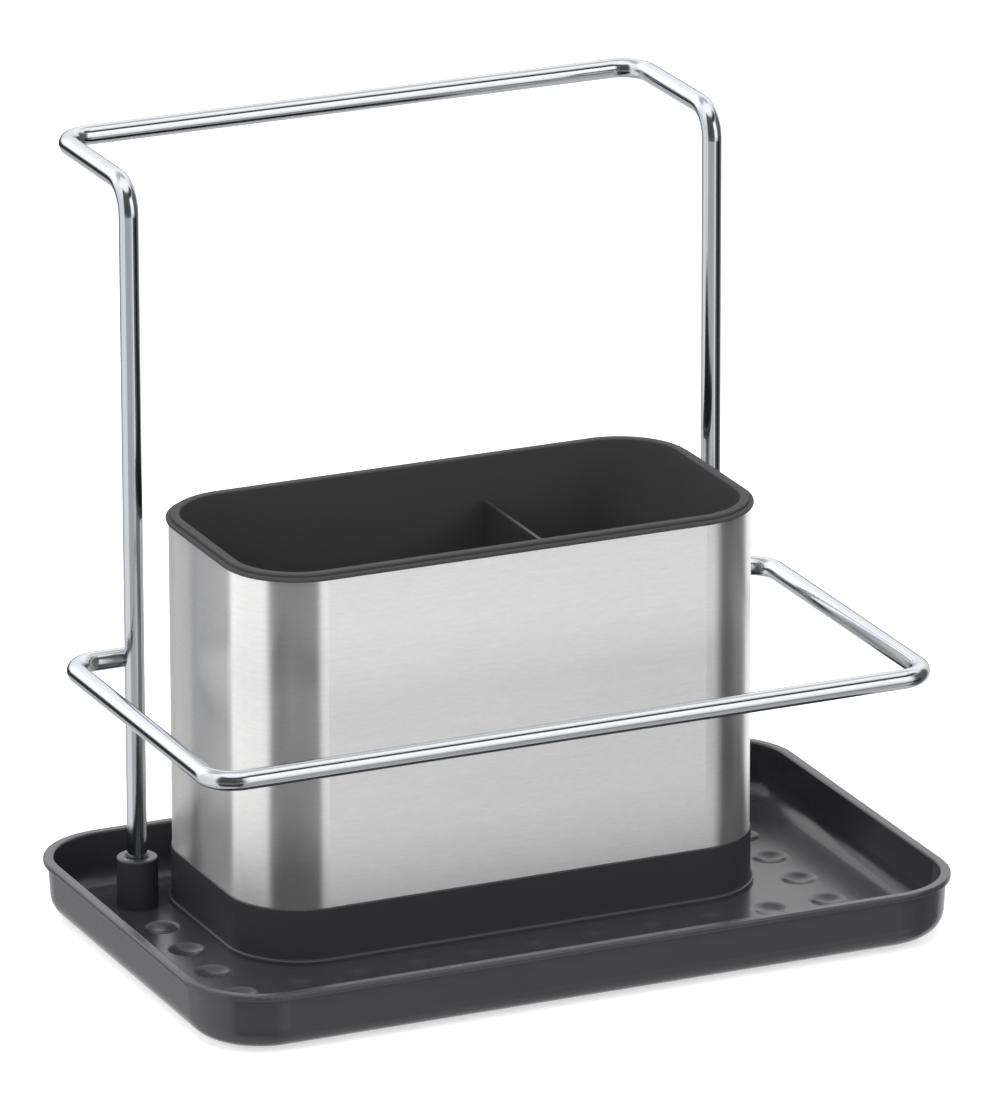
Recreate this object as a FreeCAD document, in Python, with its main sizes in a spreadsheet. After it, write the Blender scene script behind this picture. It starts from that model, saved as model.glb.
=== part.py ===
import FreeCAD, Part
import Sketcher
import math
import os
import re

# Kitchen sink caddy, in millimetres. +Z is up, +X runs along the tray and -Y is the front.
# The origin is on the ground, under the middle of the caddy's overall box.
# Places along Y are measured from the middle of the tray.

doc = FreeCAD.newDocument("SinkCaddy")
sheet = doc.addObject("Spreadsheet::Sheet", "Sizes")

sizes = [
    # drip tray
    ("tray_length", 246.8), ("tray_width", 153.6), ("tray_corner", 24.5), ("tray_tall", 18.4),
    ("floor_thick", 1.9), ("wall_thick", 2), ("wall_lean", 1.2), ("tray_edge", 7.2), ("floor_round", 6),
    ("lip_out", 1.2), ("lip_tall", 1.9), ("lip_round", 0.7), ("lip_under", 0.4),
    # pads under the tray
    ("pad_wide", 12), ("pad_stand", 1), ("pad_sunk", 0.8), ("pad_fit", 0.3), ("pad_round", 0.5),
    ("pad_end", 19), ("pad_x", "=tray_length / 2 - pad_end"),
    ("pad_side", 21), ("pad_y", "=tray_width / 2 - pad_side"),
    # sockets and wire
    ("wire", 6), ("bend", 9),
    ("leg_end", 28.4), ("leg_x", "=tray_length / 2 - leg_end"),
    ("leg_back", 25), ("leg_y", "=tray_width / 2 - leg_back"),
    ("socket_deep", 13), ("socket_fit", 0.3), ("socket_mouth", 0.6),
    ("boss_wall", 3), ("boss_wide", "=wire + 2 * (socket_fit + boss_wall)"),
    ("boss_tall", 15.7), ("boss_round", 0.7),
    ("bar_reach", 54), ("bar_y", "=leg_y + bar_reach"), ("bar_z", 228.7),
    ("rail_side", 20.2), ("rail_x", "=leg_x + rail_side"),
    ("rail_inset", 17.4), ("rail_front", "=tray_width / 2 - rail_inset"),
    ("rail_z", 81), ("rail_lap", 3.5), ("rail_back", "=leg_y + rail_lap"), ("weld_fit", 0.03),
    # holder, between the legs and near the tray's back
    ("leg_gap", 10.6), ("sleeve_length", "=2 * (leg_x - leg_gap)"),
    ("sleeve_width", 85.5), ("sleeve_corner", 23),
    ("sleeve_thick", 0.8), ("sleeve_tall", 102.4), ("sleeve_fit", 0.3),
    ("holder_back", 8.5), ("holder_y", "=tray_width / 2 - holder_back - sleeve_width / 2"),
    ("plinth_tall", 17.4), ("plinth_out", 0.35), ("plinth_round", 0.5), ("plinth_floor", 1.6),
    ("upstand_tall", 8), ("upstand_wall", 0.8),
    ("flare_out", 0.9), ("flare_thick", 1.0), ("flare_land", 0.1), ("seat_fit", 0.3),
    # dished dimples round the holder
    ("dimple_wide", 10), ("dimple_deep", 1.25), ("dimple_round", 4),
    ("row_count", 11), ("column_count", 3),
    ("dimple_end", 27.4), ("dimple_column", "=tray_length / 2 - dimple_end"),
    ("dimple_gap", 12.8), ("dimple_front", "=sleeve_width / 2 - holder_y + dimple_gap"),
    ("dimple_clear", 20.9), ("column_step", "=(leg_y - dimple_clear + dimple_front) / column_count"),
    # cup and its divider
    ("cup_fit", 0.3), ("cup_wall", 1.2), ("cup_floor", 2), ("cup_gap", 1), ("cup_round", 3),
    ("rim_over", 0.8), ("rim_tall", 2.2), ("rim_round", 0.5), ("rim_under", 0.4),
    ("step_in", 1.4), ("step_tall", 1), ("step_round", 0.35),
    ("rib_thick", 1.6), ("rib_deep", 2.4), ("rib_drop", 32),
    ("small_side", 59.1), ("divider_x", "=sleeve_length / 2 - small_side"),
    ("divider_thick", 1.4), ("divider_drop", 13.8), ("divider_round", 0.5),
    ("divider_fit", 0.3), ("divider_end", 1),
]
for row, (alias, value) in enumerate(sizes, start=1):
    sheet.set("A%d" % row, alias)
    sheet.set("B%d" % row, str(value))
    sheet.setAlias("B%d" % row, alias)
doc.recompute()
aliases = [alias for alias, value in sizes]


def size(expression):
    return float(sheet.evalExpression(expression))


# Ties a property to the sheet: the words of the expression are the sheet's own names.
def bind(target, prop, expression):
    target.setExpression(prop, re.sub(r"[a-z_]+", with_sheet, expression))


def with_sheet(match):
    word = match.group()
    return "Sizes." + word if word in aliases else word


tray_y = "(tray_width / 2 - bar_y - wire / 2) / 2"


def new_body(label, x="0", y="0", z="0"):
    body = doc.addObject("PartDesign::Body", label)
    body.Label = label
    for axis, place in (("x", x), ("y", "%s + %s" % (tray_y, y)), ("z", z)):
        bind(body, "Placement.Base." + axis, place)
    return body


def origin(body, role):
    return next(item for item in body.Origin.OriginFeatures if item.Role == role)


def new_sketch(body, name, plane="XY_Plane", lift="0"):
    sketch = body.newObject("Sketcher::SketchObject", name)
    sketch.AttachmentSupport = (origin(body, plane), [""])
    sketch.MapMode = "FlatFace"
    bind(sketch, "AttachmentOffset.Base.z", lift)
    return sketch


def held(sketch, kind, elements, name, expression):
    index = sketch.addConstraint(Sketcher.Constraint(kind, *elements, size(expression)))
    sketch.renameConstraint(index, name)
    bind(sketch, "Constraints." + name, expression)


def tangent(sketch, first, first_end, second, second_end):
    sketch.addConstraint(Sketcher.Constraint("Tangent", first, first_end, second, second_end))


# Rounded rectangle about the sketch's origin.
def rounded(sketch, name, length, width, corner):
    half_x = size(length) / 2
    half_y = size(width) / 2
    radius = size(corner)
    inner_x = half_x - radius
    inner_y = half_y - radius
    up = FreeCAD.Vector(0, 0, 1)
    quarter = math.pi / 2
    sides = [
        ((-inner_x, -half_y), (inner_x, -half_y)), ((half_x, -inner_y), (half_x, inner_y)),
        ((inner_x, half_y), (-inner_x, half_y)), ((-half_x, inner_y), (-half_x, -inner_y)),
    ]
    centres = [(inner_x, -inner_y), (inner_x, inner_y), (-inner_x, inner_y), (-inner_x, -inner_y)]
    lines = []
    for start, end in sides:
        lines.append(sketch.addGeometry(Part.LineSegment(FreeCAD.Vector(*start), FreeCAD.Vector(*end))))
    arcs = []
    for turn, centre in enumerate(centres):
        ring = Part.Circle(FreeCAD.Vector(*centre), up, radius)
        begin = (turn - 1) * quarter
        arcs.append(sketch.addGeometry(Part.ArcOfCircle(ring, begin, begin + quarter)))
    for turn in range(4):
        tangent(sketch, lines[turn], 2, arcs[turn], 1)
        tangent(sketch, arcs[turn], 2, lines[(turn + 1) % 4], 1)
        level = "Horizontal" if turn % 2 == 0 else "Vertical"
        sketch.addConstraint(Sketcher.Constraint(level, lines[turn]))
    for turn in range(1, 4):
        sketch.addConstraint(Sketcher.Constraint("Equal", arcs[0], arcs[turn]))
    sketch.addConstraint(Sketcher.Constraint("Symmetric", lines[0], 1, lines[2], 1, -1, 1))
    held(sketch, "DistanceX", (lines[3], 1, lines[1], 1), name + "_length", length)
    held(sketch, "DistanceY", (lines[0], 1, lines[2], 1), name + "_width", width)
    held(sketch, "Radius", (arcs[0],), name + "_corner", corner)


def circle(sketch, name, x, y, wide):
    place = FreeCAD.Vector(size(x), size(y), 0)
    ring = sketch.addGeometry(Part.Circle(place, FreeCAD.Vector(0, 0, 1), size(wide) / 2))
    held(sketch, "DistanceX", (-1, 1, ring, 3), name + "_x", x)
    held(sketch, "DistanceY", (-1, 1, ring, 3), name + "_y", y)
    held(sketch, "Diameter", (ring,), name + "_wide", wide)


def rectangle(sketch, name, left, right, low, high):
    corners = [(left, low), (right, low), (right, high), (left, high)]
    points = [FreeCAD.Vector(size(x), size(y), 0) for x, y in corners]
    lines = [sketch.addGeometry(Part.LineSegment(points[i], points[(i + 1) % 4])) for i in range(4)]
    for turn in range(4):
        sketch.addConstraint(Sketcher.Constraint("Coincident", lines[turn], 2, lines[(turn + 1) % 4], 1))
        level = "Horizontal" if turn % 2 == 0 else "Vertical"
        sketch.addConstraint(Sketcher.Constraint(level, lines[turn]))
    held(sketch, "DistanceX", (-1, 1, lines[0], 1), name + "_left", left)
    held(sketch, "DistanceX", (-1, 1, lines[1], 1), name + "_right", right)
    held(sketch, "DistanceY", (-1, 1, lines[0], 1), name + "_low", low)
    held(sketch, "DistanceY", (-1, 1, lines[2], 1), name + "_high", high)


# Wire centre line: straight runs along the sketch's axes, joined by tangent arcs of one radius.
def bent_line(sketch, points, bend):
    spots = [FreeCAD.Vector(size(x), size(y), 0) for x, y in points]
    radius = size(bend)
    count = len(spots)
    ways = [(spots[i + 1] - spots[i]).normalize() for i in range(count - 1)]
    lines = []
    for i, way in enumerate(ways):
        start = spots[i] + way * radius if i > 0 else spots[i]
        end = spots[i + 1] - way * radius if i < count - 2 else spots[i + 1]
        lines.append(sketch.addGeometry(Part.LineSegment(start, end)))
    for i, way in enumerate(ways):
        flat = abs(way.x) > abs(way.y)
        sketch.addConstraint(Sketcher.Constraint("Horizontal" if flat else "Vertical", lines[i]))
        axis, place = ("DistanceY", points[i][1]) if flat else ("DistanceX", points[i][0])
        held(sketch, axis, (-1, 1, lines[i], 1), "run%d" % i, place)
    for i in range(1, count - 1):
        before = ways[i - 1]
        after = ways[i]
        centre = spots[i] - before * radius + after * radius
        middle = centre + (spots[i] - centre).normalize() * radius
        bow = Part.Arc(spots[i] - before * radius, middle, spots[i] + after * radius)
        arc = sketch.addGeometry(bow)
        left_turn = before.x * after.y - before.y * after.x > 0
        first_end, second_end = (1, 2) if left_turn else (2, 1)
        tangent(sketch, lines[i - 1], 2, arc, first_end)
        tangent(sketch, arc, second_end, lines[i], 1)
        held(sketch, "Radius", (arc,), "bend%d" % i, bend)
    for name, line, end, way, point in (("first", lines[0], 1, ways[0], points[0]),
                                        ("last", lines[-1], 2, ways[-1], points[-1])):
        flat = abs(way.x) > abs(way.y)
        axis, place = ("DistanceX", point[0]) if flat else ("DistanceY", point[1])
        held(sketch, axis, (-1, 1, line, end), name, place)


def pad(body, name, sketch, length):
    feature = body.newObject("PartDesign::Pad", name)
    feature.Profile = sketch
    bind(feature, "Length", length)
    doc.recompute()
    return feature


def pocket(body, name, sketch, depth, upward=False):
    before = body.Shape.Volume
    feature = body.newObject("PartDesign::Pocket", name)
    feature.Profile = sketch
    feature.Reversed = upward
    bind(feature, "Length", depth)
    doc.recompute()
    assert body.Shape.Volume < before, name + " cuts nothing"
    return feature


def pipe(body, name, profile, path):
    feature = body.newObject("PartDesign::AdditivePipe", name)
    feature.Profile = profile
    feature.Spine = (path, ["Edge%d" % (i + 1) for i in range(len(path.Shape.Edges))])
    doc.recompute()
    return feature


def fillet(body, name, edges, radius):
    base = body.Tip
    feature = body.newObject("PartDesign::Fillet", name)
    feature.Base = (base, edges)
    bind(feature, "Radius", radius)
    doc.recompute()


def chamfer(body, name, edges, length):
    base = body.Tip
    feature = body.newObject("PartDesign::Chamfer", name)
    feature.Base = (base, edges)
    bind(feature, "Size", length)
    doc.recompute()


# Names of the body's edges that lie level at a height and pass a test on their middle point.
def level_edges(body, height, test=None):
    names = []
    for number, edge in enumerate(body.Tip.Shape.Edges, start=1):
        box = edge.BoundBox
        level = abs(box.ZMin - height) < 0.001 and abs(box.ZMax - height) < 0.001
        if level and (test is None or test(edge)):
            names.append("Edge%d" % number)
    return names


# True for an edge on the rounded rectangle of a length, width and corner.
def on_outline(length, width, corner):
    half_x = size(length) / 2
    half_y = size(width) / 2
    radius = size(corner)

    def test(edge):
        for spot in (edge.valueAt(edge.FirstParameter), edge.valueAt(edge.LastParameter)):
            past_x = max(abs(spot.x) - (half_x - radius), 0)
            past_y = max(abs(spot.y) - (half_y - radius), 0)
            if abs((past_x ** 2 + past_y ** 2) ** 0.5 - radius) > 0.01:
                return False
        return True

    return test


pads = [
    ("foot_front_left", "-pad_x", "-pad_y"), ("foot_front_right", "pad_x", "-pad_y"),
    ("foot_back_left", "-pad_x", "pad_y"), ("foot_back_right", "pad_x", "pad_y"),
]


def make_tray():
    body = new_body("drip_tray", z="pad_stand")
    lean = "atan(wall_lean / tray_tall)"
    shell = new_sketch(body, "TrayShellSketch")
    rounded(shell, "shell", "tray_length - 2 * lip_out - 2 * wall_lean",
            "tray_width - 2 * lip_out - 2 * wall_lean", "tray_corner - lip_out - wall_lean")
    block = pad(body, "TrayShell", shell, "tray_tall")
    bind(block, "TaperAngle", lean)
    doc.recompute()

    lip = new_sketch(body, "TrayLipSketch", lift="tray_tall - lip_tall")
    rounded(lip, "lip", "tray_length", "tray_width", "tray_corner")
    pad(body, "TrayLip", lip, "lip_tall")

    inside = new_sketch(body, "TrayInsideSketch", lift="tray_tall")
    rounded(inside, "inside", "tray_length - 2 * lip_out - 2 * wall_thick",
            "tray_width - 2 * lip_out - 2 * wall_thick", "tray_corner - lip_out - wall_thick")
    hollow = pocket(body, "TrayInside", inside, "tray_tall - floor_thick")
    bind(hollow, "TaperAngle", "-" + lean)
    doc.recompute()
    fillet(body, "TrayFloorRound", level_edges(body, size("floor_thick")), "floor_round")
    fillet(body, "TrayEdge", level_edges(body, 0), "tray_edge")
    seat = new_sketch(body, "HolderSeatSketch", lift="floor_thick + floor_round")
    bind(seat, "AttachmentOffset.Base.y", "holder_y")
    holder_outline(seat, "seat", "-plinth_out - flare_out - seat_fit")
    pocket(body, "HolderSeat", seat, "floor_round")

    top = size("tray_tall")
    fillet(body, "TrayLipRound", level_edges(body, top), "lip_round")
    outer = on_outline("tray_length", "tray_width", "tray_corner")
    under = level_edges(body, top - size("lip_tall"), outer)
    fillet(body, "TrayLipUnder", under, "lip_under")

    boss = new_sketch(body, "BossSketch", lift="floor_thick / 2")
    hole = new_sketch(body, "SocketSketch", lift="floor_thick + boss_tall")
    for side, x in (("left", "-leg_x"), ("right", "leg_x")):
        circle(boss, side, x, "leg_y", "boss_wide")
        circle(hole, side, x, "leg_y", "wire + 2 * socket_fit")
    pad(body, "Bosses", boss, "boss_tall + floor_thick / 2")
    fillet(body, "BossRound", level_edges(body, size("floor_thick + boss_tall")), "boss_round")
    pocket(body, "Sockets", hole, "socket_deep")
    mouth = size("wire / 2 + socket_fit")
    rims = level_edges(body, size("floor_thick + boss_tall"),
                       lambda edge: abs(edge.Curve.Radius - mouth) < 0.001)
    chamfer(body, "SocketMouth", rims, "socket_mouth")

    seats = new_sketch(body, "PadSeatSketch")
    for label, x, y in pads:
        circle(seats, label, x, y, "pad_wide + 2 * pad_fit")
    pocket(body, "PadSeats", seats, "pad_sunk", upward=True)

    dish = "(dimple_wide ^ 2 / 4 + dimple_deep ^ 2) / (2 * dimple_deep)"
    dimple_set(body, "FrontDimples", dish, "-dimple_column", "-dimple_front", "X_Axis",
               "2 * dimple_column", "row_count")
    for name, x in (("LeftDimples", "-dimple_column"), ("RightDimples", "dimple_column")):
        dimple_set(body, name, dish, x, "column_step - dimple_front", "Y_Axis",
                   "column_step * (column_count - 1)", "column_count")
    half = size("dimple_wide / 2")
    brims = level_edges(body, size("floor_thick"),
                        lambda edge: abs(getattr(edge.Curve, "Radius", 0) - half) < 0.001)
    fillet(body, "DimpleRims", brims, "dimple_round")
    return body


# One dished dimple in the tray floor, repeated in a straight line.
def dimple_set(body, name, dish, x, y, axis, span, count):
    ball = body.newObject("PartDesign::SubtractiveSphere", name + "Dish")
    ball.AttachmentSupport = (origin(body, "XY_Plane"), [""])
    ball.MapMode = "FlatFace"
    bind(ball, "Radius", dish)
    bind(ball, "AttachmentOffset.Base.x", x)
    bind(ball, "AttachmentOffset.Base.y", y)
    bind(ball, "AttachmentOffset.Base.z", "floor_thick - dimple_deep + " + dish)
    doc.recompute()
    row = body.newObject("PartDesign::LinearPattern", name)
    row.Originals = [ball]
    row.Direction = (origin(body, axis), [""])
    bind(row, "Length", span)
    bind(row, "Occurrences", count)
    body.Tip = row
    doc.recompute()


def make_pad(label, x, y):
    body = new_body(label, x, y)
    disc = new_sketch(body, label + "_sketch")
    up = FreeCAD.Vector(0, 0, 1)
    ring = disc.addGeometry(Part.Circle(FreeCAD.Vector(0, 0, 0), up, size("pad_wide") / 2))
    disc.addConstraint(Sketcher.Constraint("Coincident", ring, 3, -1, 1))
    held(disc, "Diameter", (ring,), "wide", "pad_wide")
    pad(body, label + "_disc", disc, "pad_stand + pad_sunk")
    fillet(body, label + "_round", level_edges(body, 0), "pad_round")
    return body


def make_hoop():
    body = new_body("wire_hoop")
    foot = "pad_stand + floor_thick + boss_tall - socket_deep"
    turn_y = "(leg_y + bar_y) / 2"
    leg_round = new_sketch(body, "LegRound", lift=foot)
    circle(leg_round, "leg", "-leg_x", "leg_y", "wire")
    leg_path = new_sketch(body, "LegPath", "YZ_Plane", "-leg_x")
    bent_line(leg_path, [("leg_y", foot), ("leg_y", "bar_z"), (turn_y, "bar_z")], "bend")
    doc.recompute()
    leg = pipe(body, "Leg", leg_round, leg_path)
    pair = body.newObject("PartDesign::Mirrored", "LegPair")
    pair.Originals = [leg]
    pair.MirrorPlane = (origin(body, "YZ_Plane"), [""])
    body.Tip = pair
    doc.recompute()
    bar_round = new_sketch(body, "BarRound", "XZ_Plane", "-(" + turn_y + ")")
    circle(bar_round, "bar", "-leg_x", "bar_z", "wire")
    bar_path = new_sketch(body, "BarPath", lift="bar_z")
    bent_line(bar_path, [("-leg_x", turn_y), ("-leg_x", "bar_y"),
                         ("leg_x", "bar_y"), ("leg_x", turn_y)], "bend")
    doc.recompute()
    pipe(body, "Bar", bar_round, bar_path)
    return body


def make_rail():
    body = new_body("front_rail")
    ring = new_sketch(body, "RailRound", "YZ_Plane", "-leg_x")
    circle(ring, "rail", "rail_back", "rail_z", "wire")
    path = new_sketch(body, "RailPath", lift="rail_z")
    bent_line(path, [("-leg_x", "rail_back"), ("-rail_x", "rail_back"), ("-rail_x", "-rail_front"),
                     ("rail_x", "-rail_front"), ("rail_x", "rail_back"), ("leg_x", "rail_back")], "bend")
    doc.recompute()
    pipe(body, "Rail", ring, path)
    saddle = new_sketch(body, "SaddleSketch", lift="rail_z + wire")
    for side, x in (("left", "-leg_x"), ("right", "leg_x")):
        circle(saddle, side, x, "leg_y", "wire + 2 * weld_fit")
    pocket(body, "Saddles", saddle, "2 * wire")
    return body


floor_level = "pad_stand + floor_thick"
sleeve_foot = floor_level + " + plinth_tall"
upstand_in = "sleeve_thick + sleeve_fit"
cup_in = upstand_in + " + upstand_wall + cup_fit"


# Outline of the holder, drawn in by a distance on every side.
def holder_outline(sketch, name, inset):
    rounded(sketch, name, "sleeve_length - 2 * (%s)" % inset, "sleeve_width - 2 * (%s)" % inset,
            "sleeve_corner - (%s)" % inset)


def make_plinth():
    body = new_body("base_plinth", y="holder_y", z=floor_level)
    band = new_sketch(body, "PlinthBandSketch")
    holder_outline(band, "band", "-plinth_out")
    pad(body, "PlinthBand", band, "plinth_tall")
    flare = new_sketch(body, "PlinthFlareSketch")
    holder_outline(flare, "flare", "-plinth_out - flare_out")
    pad(body, "PlinthFlare", flare, "flare_thick")
    wall = on_outline("sleeve_length + 2 * plinth_out", "sleeve_width + 2 * plinth_out",
                      "sleeve_corner + plinth_out")
    fillet(body, "PlinthCove", level_edges(body, size("flare_thick"), wall), "flare_out - flare_land")
    fillet(body, "PlinthShoulder", level_edges(body, size("plinth_tall"), wall), "plinth_round")
    upstand = new_sketch(body, "UpstandSketch", lift="plinth_tall")
    holder_outline(upstand, "upstand", upstand_in)
    pad(body, "Upstand", upstand, "upstand_tall")
    inside = new_sketch(body, "PlinthInsideSketch", lift="plinth_tall + upstand_tall")
    holder_outline(inside, "inside", upstand_in + " + upstand_wall")
    pocket(body, "PlinthInside", inside, "plinth_tall + upstand_tall - plinth_floor")
    return body


def make_sleeve():
    body = new_body("steel_sleeve", y="holder_y", z=sleeve_foot)
    ring = new_sketch(body, "SleeveSketch")
    holder_outline(ring, "outside", "0")
    holder_outline(ring, "inside", "sleeve_thick")
    pad(body, "Sleeve", ring, "sleeve_tall")
    return body


def make_cup():
    deep = "plinth_tall + sleeve_tall - plinth_floor - cup_gap"
    body = new_body("liner_cup", y="holder_y", z=floor_level + " + plinth_floor + cup_gap")
    cup = new_sketch(body, "CupSketch")
    holder_outline(cup, "cup", cup_in)
    pad(body, "Cup", cup, deep)
    fillet(body, "CupEdge", level_edges(body, 0), "cup_round")
    rim = new_sketch(body, "CupRimSketch", lift=deep)
    holder_outline(rim, "rim", "-rim_over")
    pad(body, "CupRim", rim, "rim_tall - step_tall")
    lip = new_sketch(body, "CupLipSketch", lift=deep)
    holder_outline(lip, "lip", "step_in - rim_over")
    pad(body, "CupLip", lip, "rim_tall")
    inside = new_sketch(body, "CupInsideSketch", lift=deep + " + rim_tall")
    holder_outline(inside, "inside", cup_in + " + cup_wall")
    pocket(body, "CupInside", inside, deep + " + rim_tall - cup_floor")
    fillet(body, "CupFloorRound", level_edges(body, size("cup_floor")), "cup_round")
    fillet(body, "CupRimRound", level_edges(body, size(deep + " + rim_tall")), "rim_round")
    outer = on_outline("sleeve_length + 2 * rim_over", "sleeve_width + 2 * rim_over",
                       "sleeve_corner + rim_over")
    ledge = size(deep + " + rim_tall - step_tall")
    fillet(body, "CupStepRound", level_edges(body, ledge, outer), "step_round")
    fillet(body, "CupRimUnder", level_edges(body, size(deep), outer), "rim_under")

    ribs = new_sketch(body, "RibSketch", lift="cup_floor / 2")
    wall = "sleeve_width / 2 - (%s + cup_wall)" % cup_in
    near = "(divider_thick / 2 + divider_fit)"
    far = "(divider_thick / 2 + divider_fit + rib_thick)"
    for side, low, high in (("front", "-(%s) - cup_wall / 2" % wall, "rib_deep - (%s)" % wall),
                            ("back", "%s - rib_deep" % wall, "%s + cup_wall / 2" % wall)):
        rectangle(ribs, side + "_left", "divider_x - " + far, "divider_x - " + near, low, high)
        rectangle(ribs, side + "_right", "divider_x + " + near, "divider_x + " + far, low, high)
    pad(body, "Ribs", ribs, deep + " + rim_tall - rib_drop - cup_floor / 2")
    return body


def make_divider():
    foot = floor_level + " + plinth_floor + cup_gap + cup_floor"
    body = new_body("divider_plate", "divider_x", "holder_y", foot)
    plate = new_sketch(body, "DividerSketch", "YZ_Plane", "-divider_thick / 2")
    half = "sleeve_width / 2 - (%s + cup_wall + divider_end)" % cup_in
    tall = "plinth_tall + sleeve_tall + rim_tall - plinth_floor - cup_gap - cup_floor - divider_drop"
    rectangle(plate, "plate", "-(%s)" % half, half, "0", tall)
    pad(body, "Divider", plate, "divider_thick")
    lower = []
    for number, line in enumerate(body.Tip.Shape.Edges, start=1):
        box = line.BoundBox
        if box.ZMax < 0.001 and box.YLength < 0.001:
            lower.append("Edge%d" % number)
    fillet(body, "DividerFoot", lower, "cup_round + divider_fit")
    upper = level_edges(body, size(tall), lambda line: line.Length > size("divider_thick") + 1)
    fillet(body, "DividerTop", upper, "divider_round")
    return body


bodies = [make_tray()]
bodies += [make_pad(*place) for place in pads]
bodies += [make_hoop(), make_rail(), make_plinth(), make_sleeve(), make_cup(), make_divider()]
doc.recompute()

for item in doc.Objects:
    faults = [word for word in item.State if word in ("Invalid", "Error")]
    assert not faults, "%s: %s" % (item.Name, faults)
os.makedirs("parts", exist_ok=True)
for body in bodies:
    shape = body.Shape
    assert not shape.isNull() and shape.isValid() and len(shape.Solids) == 1, body.Label
for body in bodies:
    body.Shape.exportStep("parts/%s.step" % body.Label)
    print(body.Label, round(body.Shape.Volume), "mm3")
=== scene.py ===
import math
import bpy
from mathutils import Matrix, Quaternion, Vector

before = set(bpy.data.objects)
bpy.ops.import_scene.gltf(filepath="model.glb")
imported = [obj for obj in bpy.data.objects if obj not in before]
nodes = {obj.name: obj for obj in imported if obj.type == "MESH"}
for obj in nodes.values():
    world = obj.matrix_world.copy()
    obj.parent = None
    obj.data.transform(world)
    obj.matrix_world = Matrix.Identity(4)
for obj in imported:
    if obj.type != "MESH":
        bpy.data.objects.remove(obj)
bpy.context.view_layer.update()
scene = bpy.context.scene
scene.view_settings.view_transform = "Standard"
print("frame loaded with", len(nodes), "CAD nodes")


# camera, a long lens a little left of the front and above

shot = {
    "stand": (-1.26853, -2.85405, 1.16681),
    "aim": (0.00334, -0.01197, 0.11646),
    "roll": -0.127,           # degrees
    "lens": 361.5,            # mm on a 36 mm long side
    "farthest": 50,           # m, well past the floor's edge
}


def setCamera():
    lens = bpy.data.cameras.new("shotCamera")
    lens.lens = shot["lens"]
    lens.clip_end = shot["farthest"]
    camera = bpy.data.objects.new("shotCamera", lens)
    camera.location = shot["stand"]
    look = Vector(shot["aim"]) - Vector(shot["stand"])
    level = look.to_track_quat("-Z", "Y")
    roll = Quaternion((0, 0, 1), math.radians(shot["roll"]))
    camera.rotation_euler = (level @ roll).to_euler()
    scene.collection.objects.link(camera)
    scene.camera = camera


setCamera()
print("camera set")


# studio: white room with dark and light cards that metal reflects, soft lamps

studio = {
    "ambient": 0.66,          # the room's light on matt surfaces
    # each card is named for where it stands or shows; its numbers are its middle and half width
    # round the object (0 front, 90 left), lowest and highest height and soft edge, in degrees,
    # and its shade, which darkens the room there if under 1 and lights it if over 1
    "cards": {
        "leftCornerHigh": (29, 39, -12, 56, 6, 0.09),
        "leftCornerGap": (29, 39, -27, -12, 4, 0.6),     # keeps the wire legs light
        "leftCornerLow": (29, 39, -55, -27, 4, 0.06),
        "rightCorner": (-78, 30, -55, 34, 7, 0.15),
        "leftBand": (102, 34, -70, 60, 5, 1.07),
        "frontLow": (-16, 24, -70, -27, 6, 0.6),
        "frontMiddle": (-16, 24, -27, -4, 6, 1.2),
        "frontRightEnd": (-50, 26, -31, -9, 5, 0.1),
        "frontHigh": (-14, 26, -4, 36, 2, 1.48),
        "leftEndLow": (160, 18, -70, -5, 6, 0.7),
        "leftEndHigh": (148, 20, 4, 50, 8, 1.6),
        "trayFloor": (-156, 34, 4, 45, 8, 1.22),
        "overBack": (180, 60, 50, 80, 14, 0.45),
        "wireLine": (-42, 36, 36, 53, 2, 0.06),
        "wireLineSoft": (-42, 36, 36, 60, 5, 0.6),
        "backSkyline": (180, 40, -17, 2, 3, 0.05),
    },
    # height in degrees and the room's shine there, from the ground to overhead
    "heights": [
        (-90, 0.6), (-55, 0.75), (-35, 1.0), (0, 1.0), (40, 1.3), (62, 1.55), (90, 1.6),
    ],
    "lamps": [
        {"name": "topLamp", "place": (-0.25, -0.15, 1.5), "size": 1.3, "power": 12},
        {"name": "leftLamp", "place": (-1.5, -0.5, 0.8), "size": 1.0, "power": 8.6},
        {"name": "rightLamp", "place": (1.2, -1.2, 0.9), "size": 1.0, "power": 8},
    ],
    "lampAim": (0, 0, 0.08),
    "floorWide": 4.0,
    "floorTone": 0.86,
    "floorLift": 0.58,        # glow that takes the lit floor to white
}


def addNode(tree, kind, **settings):
    node = tree.nodes.new(kind)
    for key, value in settings.items():
        setattr(node, key, value)
    return node


# one sum of two numbers or sockets
def calc(tree, operation, first, second):
    node = addNode(tree, "ShaderNodeMath", operation=operation)
    for socket, value in zip(node.inputs, (first, second)):
        if isinstance(value, (int, float)):
            socket.default_value = value
        else:
            tree.links.new(value, socket)
    return node.outputs[0]


# 0 below low, 1 above high, smooth between
def ramp(tree, value, low, high):
    node = addNode(tree, "ShaderNodeMapRange", interpolation_type="SMOOTHSTEP")
    tree.links.new(value, node.inputs["Value"])
    node.inputs["From Min"].default_value = low
    node.inputs["From Max"].default_value = high
    return node.outputs["Result"]


def sinDeg(angle):
    return math.sin(math.radians(angle))


def cosDeg(angle):
    return math.cos(math.radians(angle))


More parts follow.
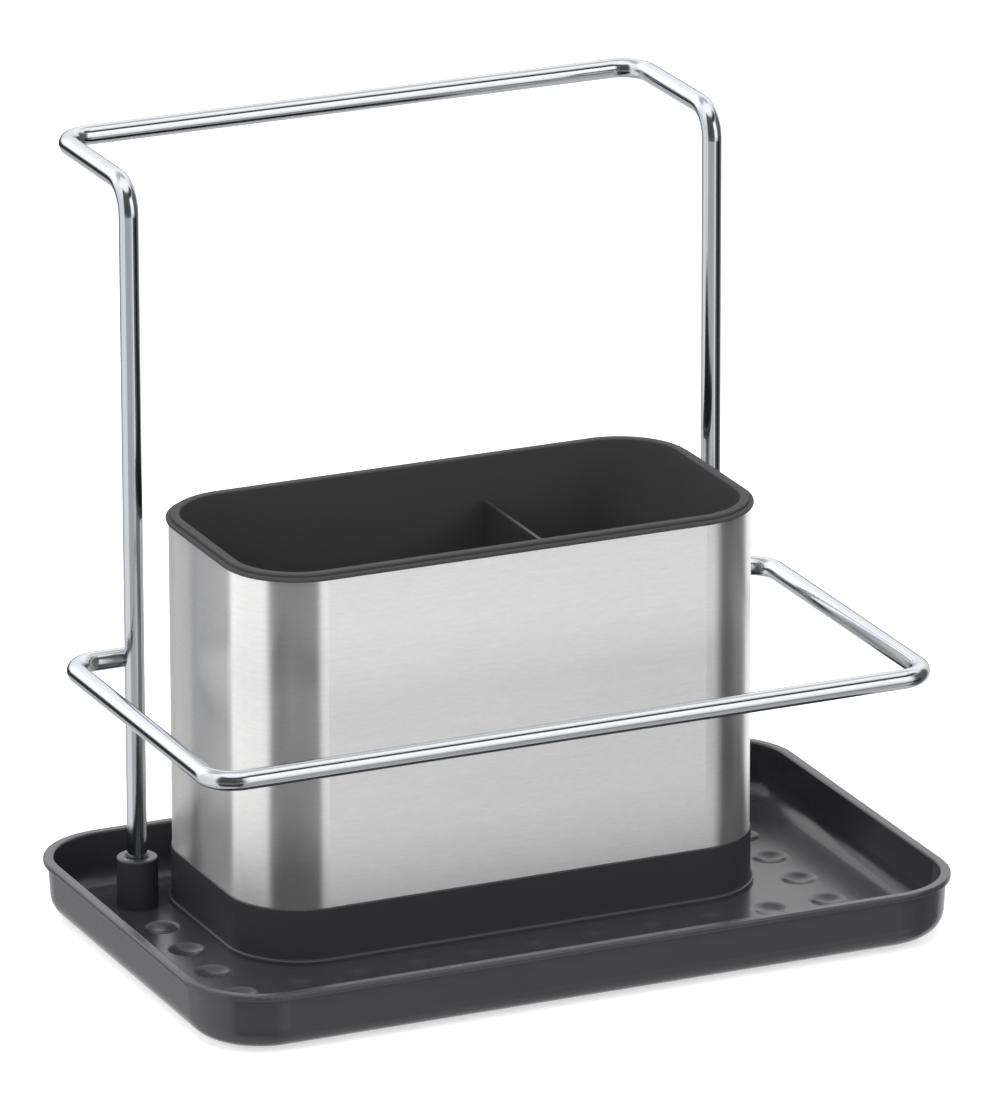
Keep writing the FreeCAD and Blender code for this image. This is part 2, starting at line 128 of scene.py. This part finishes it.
# 1 outside the card and its shade inside: where the level direction is within its half width
# of its middle and the height is between its ends
def cardShade(tree, level, height, card):
    middle, half, low, high, edge, shade = card
    dot = addNode(tree, "ShaderNodeVectorMath", operation="DOT_PRODUCT")
    tree.links.new(level, dot.inputs[0])
    dot.inputs[1].default_value = (-sinDeg(middle), -cosDeg(middle), 0)
    wide = ramp(tree, dot.outputs["Value"], cosDeg(half + edge), cosDeg(half - edge))
    above = ramp(tree, height, sinDeg(low - edge), sinDeg(low + edge))
    over = ramp(tree, height, sinDeg(high - edge), sinDeg(high + edge))
    inside = calc(tree, "MULTIPLY", wide, above)
    inside = calc(tree, "MULTIPLY", inside, calc(tree, "SUBTRACT", 1, over))
    return calc(tree, "SUBTRACT", 1, calc(tree, "MULTIPLY", inside, 1 - shade))


# tone that runs smoothly through the stops, a list of degrees and tones
def toneBy(tree, degrees, stops):
    node = addNode(tree, "ShaderNodeValToRGB")
    node.color_ramp.interpolation = "EASE"
    lowest, highest = stops[0][0], stops[-1][0]
    spots = node.color_ramp.elements
    while len(spots) < len(stops):
        spots.new(0.5)        # placed below
    for spot, (angle, tone) in zip(spots, stops):
        spot.position = (angle - lowest) / (highest - lowest)
        spot.color = (tone, tone, tone, 1)
    share = calc(tree, "DIVIDE", calc(tree, "SUBTRACT", degrees, lowest), highest - lowest)
    tree.links.new(share, node.inputs["Fac"])
    return node.outputs["Color"]


# 1 for the rays that find plain white
def whiteRay(tree, ray):
    return calc(tree, "MAXIMUM", ray.outputs["Is Camera Ray"], ray.outputs["Is Transmission Ray"])


# white for the camera, the cards for what mirrors them, ambient light for the rest
def setWorld():
    world = bpy.data.worlds.new("whiteRoom")
    world.use_nodes = True
    scene.world = world
    tree = world.node_tree
    tree.nodes.clear()
    place = addNode(tree, "ShaderNodeTexCoord")
    axes = addNode(tree, "ShaderNodeSeparateXYZ")
    tree.links.new(place.outputs["Generated"], axes.inputs[0])
    flat = addNode(tree, "ShaderNodeCombineXYZ")
    tree.links.new(axes.outputs["X"], flat.inputs["X"])
    tree.links.new(axes.outputs["Y"], flat.inputs["Y"])
    level = addNode(tree, "ShaderNodeVectorMath", operation="NORMALIZE")
    tree.links.new(flat.outputs[0], level.inputs[0])
    height = axes.outputs["Z"]
    arcsine = addNode(tree, "ShaderNodeMath", operation="ARCSINE")
    tree.links.new(height, arcsine.inputs[0])
    tilt = calc(tree, "MULTIPLY", arcsine.outputs[0], math.degrees(1))
    shine = toneBy(tree, tilt, studio["heights"])
    for card in studio["cards"].values():
        shade = cardShade(tree, level.outputs[0], height, card)
        shine = calc(tree, "MULTIPLY", shine, shade)
    ray = addNode(tree, "ShaderNodeLightPath")
    seen = whiteRay(tree, ray)
    mirrored = ray.outputs["Is Glossy Ray"]
    rest = calc(tree, "SUBTRACT", calc(tree, "SUBTRACT", 1, seen), mirrored)
    strength = calc(tree, "ADD", seen, calc(tree, "MULTIPLY", mirrored, shine))
    strength = calc(tree, "ADD", strength, calc(tree, "MULTIPLY", rest, studio["ambient"]))
    glow = addNode(tree, "ShaderNodeBackground")
    glow.inputs["Color"].default_value = (1, 1, 1, 1)
    tree.links.new(strength, glow.inputs["Strength"])
    out = addNode(tree, "ShaderNodeOutputWorld")
    tree.links.new(glow.outputs[0], out.inputs["Surface"])


def setLamps():
    for entry in studio["lamps"]:
        light = bpy.data.lights.new(entry["name"], "AREA")
        light.size = entry["size"]
        light.energy = entry["power"]
        lamp = bpy.data.objects.new(entry["name"], light)
        lamp.location = entry["place"]
        down = Vector(studio["lampAim"]) - Vector(entry["place"])
        lamp.rotation_euler = down.to_track_quat("-Z", "Y").to_euler()
        lamp.visible_glossy = False
        scene.collection.objects.link(lamp)


def setFloor():
    half = studio["floorWide"] / 2
    mesh = bpy.data.meshes.new("floor")
    corners = [(-half, -half, 0), (half, -half, 0), (half, half, 0), (-half, half, 0)]
    mesh.from_pydata(corners, [], [(0, 1, 2, 3)])
    floor = bpy.data.objects.new("floor", mesh)
    scene.collection.objects.link(floor)
    material = bpy.data.materials.new("paleFloor")
    material.use_nodes = True
    tree = material.node_tree
    tree.nodes.clear()
    matt = addNode(tree, "ShaderNodeBsdfDiffuse")
    tone = studio["floorTone"]
    matt.inputs["Color"].default_value = (tone, tone, tone, 1)
    ray = addNode(tree, "ShaderNodeLightPath")
    glow = addNode(tree, "ShaderNodeEmission")
    seen = calc(tree, "MAXIMUM", whiteRay(tree, ray), ray.outputs["Is Glossy Ray"])
    lift = calc(tree, "MULTIPLY", seen, studio["floorLift"])
    tree.links.new(lift, glow.inputs["Strength"])
    both = addNode(tree, "ShaderNodeAddShader")
    tree.links.new(matt.outputs[0], both.inputs[0])
    tree.links.new(glow.outputs[0], both.inputs[1])
    out = addNode(tree, "ShaderNodeOutputMaterial")
    tree.links.new(both.outputs[0], out.inputs["Surface"])
    mesh.materials.append(material)
    floor.visible_glossy = False


setWorld()
setLamps()
setFloor()
print("studio lit")


# shared effects; each material sets a group's inputs

def newGroup(name, inputs, outputs):
    group = bpy.data.node_groups.new(name, "ShaderNodeTree")
    for side, sockets in (("INPUT", inputs), ("OUTPUT", outputs)):
        for label, kind in sockets.items():
            group.interface.new_socket(name=label, in_out=side, socket_type="NodeSocket" + kind)
    return group, addNode(group, "NodeGroupInput"), addNode(group, "NodeGroupOutput")


# scale is a number or a socket, in cells per metre
def noise(tree, vector, scale, detail, roughness=0.5):
    node = addNode(tree, "ShaderNodeTexNoise")
    tree.links.new(vector, node.inputs["Vector"])
    if isinstance(scale, (int, float)):
        node.inputs["Scale"].default_value = scale
    else:
        tree.links.new(scale, node.inputs["Scale"])
    node.inputs["Detail"].default_value = detail
    node.inputs["Roughness"].default_value = roughness
    return node.outputs["Fac"]


# how far a noise strays from its middle, times amount
def swingOf(tree, value, amount):
    return calc(tree, "MULTIPLY", calc(tree, "SUBTRACT", value, 0.5), amount)


moulding = {
    "mottleCells": 22,        # per metre
    "mottleTone": 2,          # tone's swing for one of gloss
    "pebbleTone": 0.12,       # how much a pebble changes the tone
}


# moulded skin: a fine pebble height and a slow mottle of tone and gloss
def makeMouldSkin():
    group, into, out = newGroup(
        "mouldSkin",
        {"Vector": "Vector", "Pebbles": "Float", "Color": "Color", "Gloss": "Float",
         "Mottle": "Float"},
        {"Color": "Color", "Roughness": "Float", "Height": "Float"})
    vector = into.outputs["Vector"]
    pebbles = noise(group, vector, into.outputs["Pebbles"], detail=2)
    slow = noise(group, vector, moulding["mottleCells"], detail=4, roughness=0.6)
    swing = swingOf(group, slow, into.outputs["Mottle"])
    group.links.new(calc(group, "ADD", into.outputs["Gloss"], swing), out.inputs["Roughness"])
    group.links.new(pebbles, out.inputs["Height"])
    tint = addNode(group, "ShaderNodeMix", data_type="RGBA", blend_type="MULTIPLY")
    tint.inputs["Factor"].default_value = 1
    group.links.new(into.outputs["Color"], tint.inputs["A"])
    level = calc(group, "ADD", 1, calc(group, "MULTIPLY", swing, moulding["mottleTone"]))
    speck = calc(group, "ADD", level, swingOf(group, pebbles, moulding["pebbleTone"]))
    group.links.new(speck, tint.inputs["B"])
    group.links.new(tint.outputs["Result"], out.inputs["Color"])
    return group


smudge = {
    "cells": 35,              # per metre
    "from": 0.45,             # where in the noise a smudge begins
    "full": 0.75,             # and where it is full
}


# handling haze: soft smudges that dull a polished face a little
def makeHaze():
    group, into, out = newGroup(
        "handlingHaze",
        {"Vector": "Vector", "Roughness": "Float", "Amount": "Float"},
        {"Roughness": "Float"})
    cloud = noise(group, into.outputs["Vector"], smudge["cells"], detail=5, roughness=0.6)
    cloud = ramp(group, cloud, smudge["from"], smudge["full"])
    dull = calc(group, "MULTIPLY", cloud, into.outputs["Amount"])
    group.links.new(calc(group, "ADD", into.outputs["Roughness"], dull), out.inputs["Roughness"])
    return group


mouldSkin = makeMouldSkin()
handlingHaze = makeHaze()
print("shared effects ready")


# finishes

grainHeight = 0.0002          # m, for a bump of strength 1


def newFinish(name):
    material = bpy.data.materials.new(name)
    material.use_nodes = True
    tree = material.node_tree
    place = addNode(tree, "ShaderNodeTexCoord").outputs["Object"]
    return material, tree, tree.nodes["Principled BSDF"], place


def addBump(tree, shader, height, strength):
    node = addNode(tree, "ShaderNodeBump")
    node.inputs["Strength"].default_value = strength
    node.inputs["Distance"].default_value = grainHeight
    tree.links.new(height, node.inputs["Height"])
    tree.links.new(node.outputs["Normal"], shader.inputs["Normal"])


def addHaze(tree, shader, place, facts):
    haze = addNode(tree, "ShaderNodeGroup", node_tree=handlingHaze)
    tree.links.new(place, haze.inputs["Vector"])
    haze.inputs["Roughness"].default_value = facts["roughness"]
    haze.inputs["Amount"].default_value = facts["haze"]
    tree.links.new(haze.outputs["Roughness"], shader.inputs["Roughness"])


plastics = {
    "trayPlastic": {
        "color": (0.041, 0.041, 0.047), "gloss": 0.22, "shine": 0.45,
        "pebbles": 1500.0, "mottle": 0.06, "grain": 0.03},
    "plinthPlastic": {
        "color": (0.041, 0.041, 0.046), "gloss": 0.36, "shine": 0.4,
        "pebbles": 1500.0, "mottle": 0.05, "grain": 0.08},
    "cupPlastic": {
        "color": (0.057, 0.057, 0.059), "gloss": 0.6, "shine": 0.12,
        "pebbles": 1300.0, "mottle": 0.05, "grain": 0.10},
    # painted shade: the divider's colour is set darker than the cup's so that its faces, lit by
    # the left lamp through the cup's opening, look no lighter than the cup's walls
    "dividerShadedPlastic": {
        "color": (0.034, 0.034, 0.036), "gloss": 0.42, "shine": 0.5,
        "pebbles": 1300.0, "mottle": 0.05, "grain": 0.10},
    "padRubber": {
        "color": (0.035, 0.035, 0.035), "gloss": 0.7, "shine": 0.4,
        "pebbles": 2500.0, "mottle": 0.10, "grain": 0.25},
}


def makePlastic(name):
    facts = plastics[name]
    material, tree, shader, place = newFinish(name)
    skin = addNode(tree, "ShaderNodeGroup", node_tree=mouldSkin)
    tree.links.new(place, skin.inputs["Vector"])
    skin.inputs["Pebbles"].default_value = facts["pebbles"]
    skin.inputs["Color"].default_value = (*facts["color"], 1)
    skin.inputs["Gloss"].default_value = facts["gloss"]
    skin.inputs["Mottle"].default_value = facts["mottle"]
    shader.inputs["Specular IOR Level"].default_value = facts["shine"]
    tree.links.new(skin.outputs["Color"], shader.inputs["Base Color"])
    tree.links.new(skin.outputs["Roughness"], shader.inputs["Roughness"])
    addBump(tree, shader, skin.outputs["Height"], facts["grain"])
    return material


chrome = {
    "color": (0.58, 0.6, 0.63),
    "edge": (0.8, 0.81, 0.83),    # keeps a grey line along the wire's sides
    "roughness": 0.14,
    "haze": 0.03,
}


def makeChrome():
    material, tree, shader, place = newFinish("chromeWire")
    shader.inputs["Metallic"].default_value = 1
    shader.inputs["Base Color"].default_value = (*chrome["color"], 1)
    shader.inputs["Specular Tint"].default_value = (*chrome["edge"], 1)
    addHaze(tree, shader, place, chrome)
    return material


steel = {
    "color": (0.885, 0.878, 0.873),
    "roughness": 0.32,
    "haze": 0.012,
    "anisotropy": 1.0,
    "turn": 0.25,             # of a full turn, so that the gloss spreads across the strokes
    "lines": (30, 30, 1900),  # noise cells per metre: long level strokes, fine up the wall
    "strokes": 0.11,          # how much a stroke changes the tone
    "flecks": (380, 380, 1600),
    "fleckTone": 0.15,        # and a short fleck between them
    "depth": 0.05,
}


# noise drawn out level, as the brush leaves it
def brushed(tree, place, cells):
    stretch = addNode(tree, "ShaderNodeMapping")
    stretch.inputs["Scale"].default_value = cells
    tree.links.new(place, stretch.inputs["Vector"])
    return noise(tree, stretch.outputs[0], 1, detail=3, roughness=0.65)


def makeSteel():
    material, tree, shader, place = newFinish("brushedSleeve")
    shader.inputs["Metallic"].default_value = 1
    shader.inputs["Anisotropic"].default_value = steel["anisotropy"]
    shader.inputs["Anisotropic Rotation"].default_value = steel["turn"]
    around = addNode(tree, "ShaderNodeTangent", direction_type="RADIAL", axis="Z")
    tree.links.new(around.outputs[0], shader.inputs["Tangent"])
    strokes = brushed(tree, place, steel["lines"])
    flecks = brushed(tree, place, steel["flecks"])
    tone = addNode(tree, "ShaderNodeMix", data_type="RGBA", blend_type="MULTIPLY")
    tone.inputs["Factor"].default_value = 1
    tone.inputs["A"].default_value = (*steel["color"], 1)
    swing = swingOf(tree, strokes, steel["strokes"])
    speck = swingOf(tree, flecks, steel["fleckTone"])
    tree.links.new(calc(tree, "ADD", 1, calc(tree, "ADD", swing, speck)), tone.inputs["B"])
    tree.links.new(tone.outputs["Result"], shader.inputs["Base Color"])
    addHaze(tree, shader, place, steel)
    addBump(tree, shader, strokes, steel["depth"])
    return material


finishes = {name: makePlastic(name) for name in plastics}
finishes["chromeWire"] = makeChrome()
finishes["brushedSleeve"] = makeSteel()

wears = {
    "drip_tray": "trayPlastic",
    "base_plinth": "plinthPlastic",
    "liner_cup": "cupPlastic",
    "divider_plate": "dividerShadedPlastic",
    "wire_hoop": "chromeWire",
    "front_rail": "chromeWire",
    "steel_sleeve": "brushedSleeve",
    "foot_front_left": "padRubber",
    "foot_front_right": "padRubber",
    "foot_back_left": "padRubber",
    "foot_back_right": "padRubber",
}
for nodeName, finish in wears.items():
    mesh = nodes[nodeName].data
    mesh.materials.clear()
    mesh.materials.append(finishes[finish])
print("finishes on", len(wears), "nodes")
